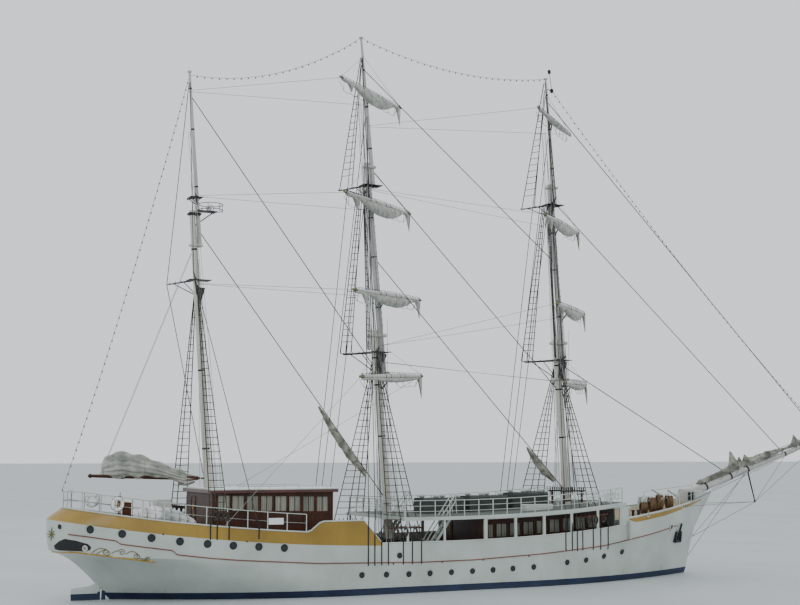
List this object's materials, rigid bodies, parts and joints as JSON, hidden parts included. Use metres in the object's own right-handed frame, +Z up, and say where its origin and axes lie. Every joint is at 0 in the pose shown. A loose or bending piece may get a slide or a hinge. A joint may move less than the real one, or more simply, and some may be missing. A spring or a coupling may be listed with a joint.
{
  "type": "three-masted barque, 1:2 scale model",
  "caption": "Steel sailing barque with counter stern, raked masts, furled square sails on braced yards, deckhouses, sheltered waist, bowsprit, rudder and screw; a half-size model afloat.",
  "frame": {"origin": "amidships on the centreline at the waterline", "axes": "+X to the bow, +Y to port, +Z up; the waterline is the plane z = 0"},
  "size_m": [28.465, 5.4928, 19.0944],
  "materials": {
    "white_paint": "gloss enamel, lightly weathered, rust runs at fittings",
    "ochre_paint": "satin enamel",
    "blue_paint": "boot topping and bottom paint",
    "spar_paint": "satin off-white spar paint",
    "varnished_wood": "varnished",
    "deck_planking": "scrubbed planking with dark seams",
    "sailcloth": "matt woven cloth",
    "galvanised_wire": "dull galvanised",
    "tarred_rope": "matt laid rope",
    "black_iron": "black paint over iron",
    "bronze": "dull cast bronze",
    "window_glass": "dark clear glass"
  },
  "bodies": {
    "ship": {"hull": "white_paint", "poop": "white_paint", "forecastle": "white_paint", "poop_bulwark_starboard": "ochre_paint", "shelter_side_starboard": "white_paint", "poop_rail_starboard": "white_paint", "upper_rail_starboard": "white_paint", "waist_ladder_starboard": "white_paint", "anchor_starboard": "black_iron", "poop_bulwark_port": "ochre_paint", "shelter_side_port": "white_paint", "poop_rail_port": "white_paint", "upper_rail_port": "white_paint", "waist_ladder_port": "white_paint", "anchor_port": "black_iron", "upper_deck": "white_paint", "midship_house": "varnished_wood", "aft_deckhouse": "varnished_wood", "aft_deckhouse_roof": "white_paint", "main_lower_mast": "spar_paint", "main_topmast": "spar_paint", "fore_lower_mast": "spar_paint", "fore_topmast": "spar_paint", "mizzen_lower_mast": "spar_paint", "mizzen_topmast": "spar_paint", "bowsprit": "spar_paint", "helm_pedestal": "varnished_wood", "windlass": "white_paint", "furled_jibs": "sailcloth", "fore_stay": "galvanised_wire", "fore_topmast_stay": "galvanised_wire", "fore_topgallant_stay": "galvanised_wire", "mizzen_stay": "galvanised_wire", "mizzen_topmast_stay": "galvanised_wire", "main_stay": "galvanised_wire", "main_topmast_stay": "galvanised_wire", "main_topgallant_stay": "galvanised_wire"},
    "main_course": {"main_course_yard": "spar_paint", "furled_main_course": "sailcloth"},
    "main_lower_topsail": {"main_lower_topsail_yard": "spar_paint", "furled_main_lower_topsail": "sailcloth"},
    "main_upper_topsail": {"main_upper_topsail_yard": "spar_paint", "furled_main_upper_topsail": "sailcloth"},
    "main_topgallant": {"main_topgallant_yard": "spar_paint", "furled_main_topgallant": "sailcloth"},
    "fore_course": {"fore_course_yard": "spar_paint", "furled_fore_course": "sailcloth"},
    "fore_lower_topsail": {"fore_lower_topsail_yard": "spar_paint", "furled_fore_lower_topsail": "sailcloth"},
    "fore_upper_topsail": {"fore_upper_topsail_yard": "spar_paint", "furled_fore_upper_topsail": "sailcloth"},
    "fore_topgallant": {"fore_topgallant_yard": "spar_paint", "furled_fore_topgallant": "sailcloth"},
    "spanker": {"spanker_boom": "varnished_wood", "furled_spanker": "sailcloth"},
    "rudder": {"rudder": "white_paint"},
    "helm": {"helm_wheel": "varnished_wood"},
    "propeller": {"propeller": "bronze"},
    "midship_house_door": {"midship_house_door": "varnished_wood"},
    "aft_deckhouse_door": {"aft_deckhouse_door": "varnished_wood"}
  },
  "joints": [
    {"name": "main_course_brace", "type": "hinge", "parent": "ship", "child": "main_course", "pos_m": [-0.92123, 0, 6.49354], "axis": [-0.0896, 0, 0.996], "range_deg": [0, 82]},
    {"name": "main_lower_topsail_brace", "type": "hinge", "parent": "ship", "child": "main_lower_topsail", "pos_m": [-1.06332, 0, 9.06599], "axis": [-0.0896, 0, 0.996], "range_deg": [0, 88]},
    {"name": "main_upper_topsail_brace", "type": "hinge", "parent": "ship", "child": "main_upper_topsail", "pos_m": [-1.40466, 0, 11.99405], "axis": [-0.0896, 0, 0.996], "range_deg": [0, 90]},
    {"name": "main_topgallant_brace", "type": "hinge", "parent": "ship", "child": "main_topgallant", "pos_m": [-1.65941, 0, 15.57031], "axis": [-0.0896, 0, 0.996], "range_deg": [0, 92]},
    {"name": "fore_course_brace", "type": "hinge", "parent": "ship", "child": "fore_course", "pos_m": [5.86421, 0, 6.43201], "axis": [-0.0698, 0, 0.9976], "range_deg": [0, 78]},
    {"name": "fore_lower_topsail_brace", "type": "hinge", "parent": "ship", "child": "fore_lower_topsail", "pos_m": [5.74251, 0, 8.95049], "axis": [-0.0698, 0, 0.9976], "range_deg": [0, 83]},
    {"name": "fore_upper_topsail_brace", "type": "hinge", "parent": "ship", "child": "fore_upper_topsail", "pos_m": [5.44688, 0, 11.84903], "axis": [-0.0698, 0, 0.9976], "range_deg": [0, 89]},
    {"name": "fore_topgallant_brace", "type": "hinge", "parent": "ship", "child": "fore_topgallant", "pos_m": [5.21519, 0, 15.40373], "axis": [-0.0698, 0, 0.9976], "range_deg": [0, 90]},
    {"name": "spanker_boom_swing", "type": "hinge", "parent": "ship", "child": "spanker", "pos_m": [-7.01516, 0, 3.36], "axis": [0, 0, 1], "range_deg": [-55, 55]},
    {"name": "rudder_turn", "type": "hinge", "parent": "ship", "child": "rudder", "pos_m": [-9.925, 0, -0.5], "axis": [0, 0, 1], "range_deg": [-35, 35]},
    {"name": "helm_turn", "type": "hinge", "parent": "ship", "child": "helm", "pos_m": [-9.375, 0, 2.61224], "axis": [1, 0, 0], "range_deg": [-350, 350]},
    {"name": "propeller_turn", "type": "hinge", "parent": "ship", "child": "propeller", "pos_m": [-9.49, 0, -0.875], "axis": [1, 0, 0], "continuous": true},
    {"name": "midship_house_door_swing", "type": "hinge", "parent": "ship", "child": "midship_house_door", "pos_m": [1.4745, 0.7496, 1.5], "axis": [0, 0, 1], "range_deg": [-110, 0]},
    {"name": "aft_deckhouse_door_swing", "type": "hinge", "parent": "ship", "child": "aft_deckhouse_door", "pos_m": [-7.0505, 0.7496, 2.3], "axis": [0, 0, 1], "range_deg": [-110, 0]}
  ],
  "couplings": [
    {"joint": "helm_turn", "follows": "rudder_turn", "ratio": 10}
  ]
}
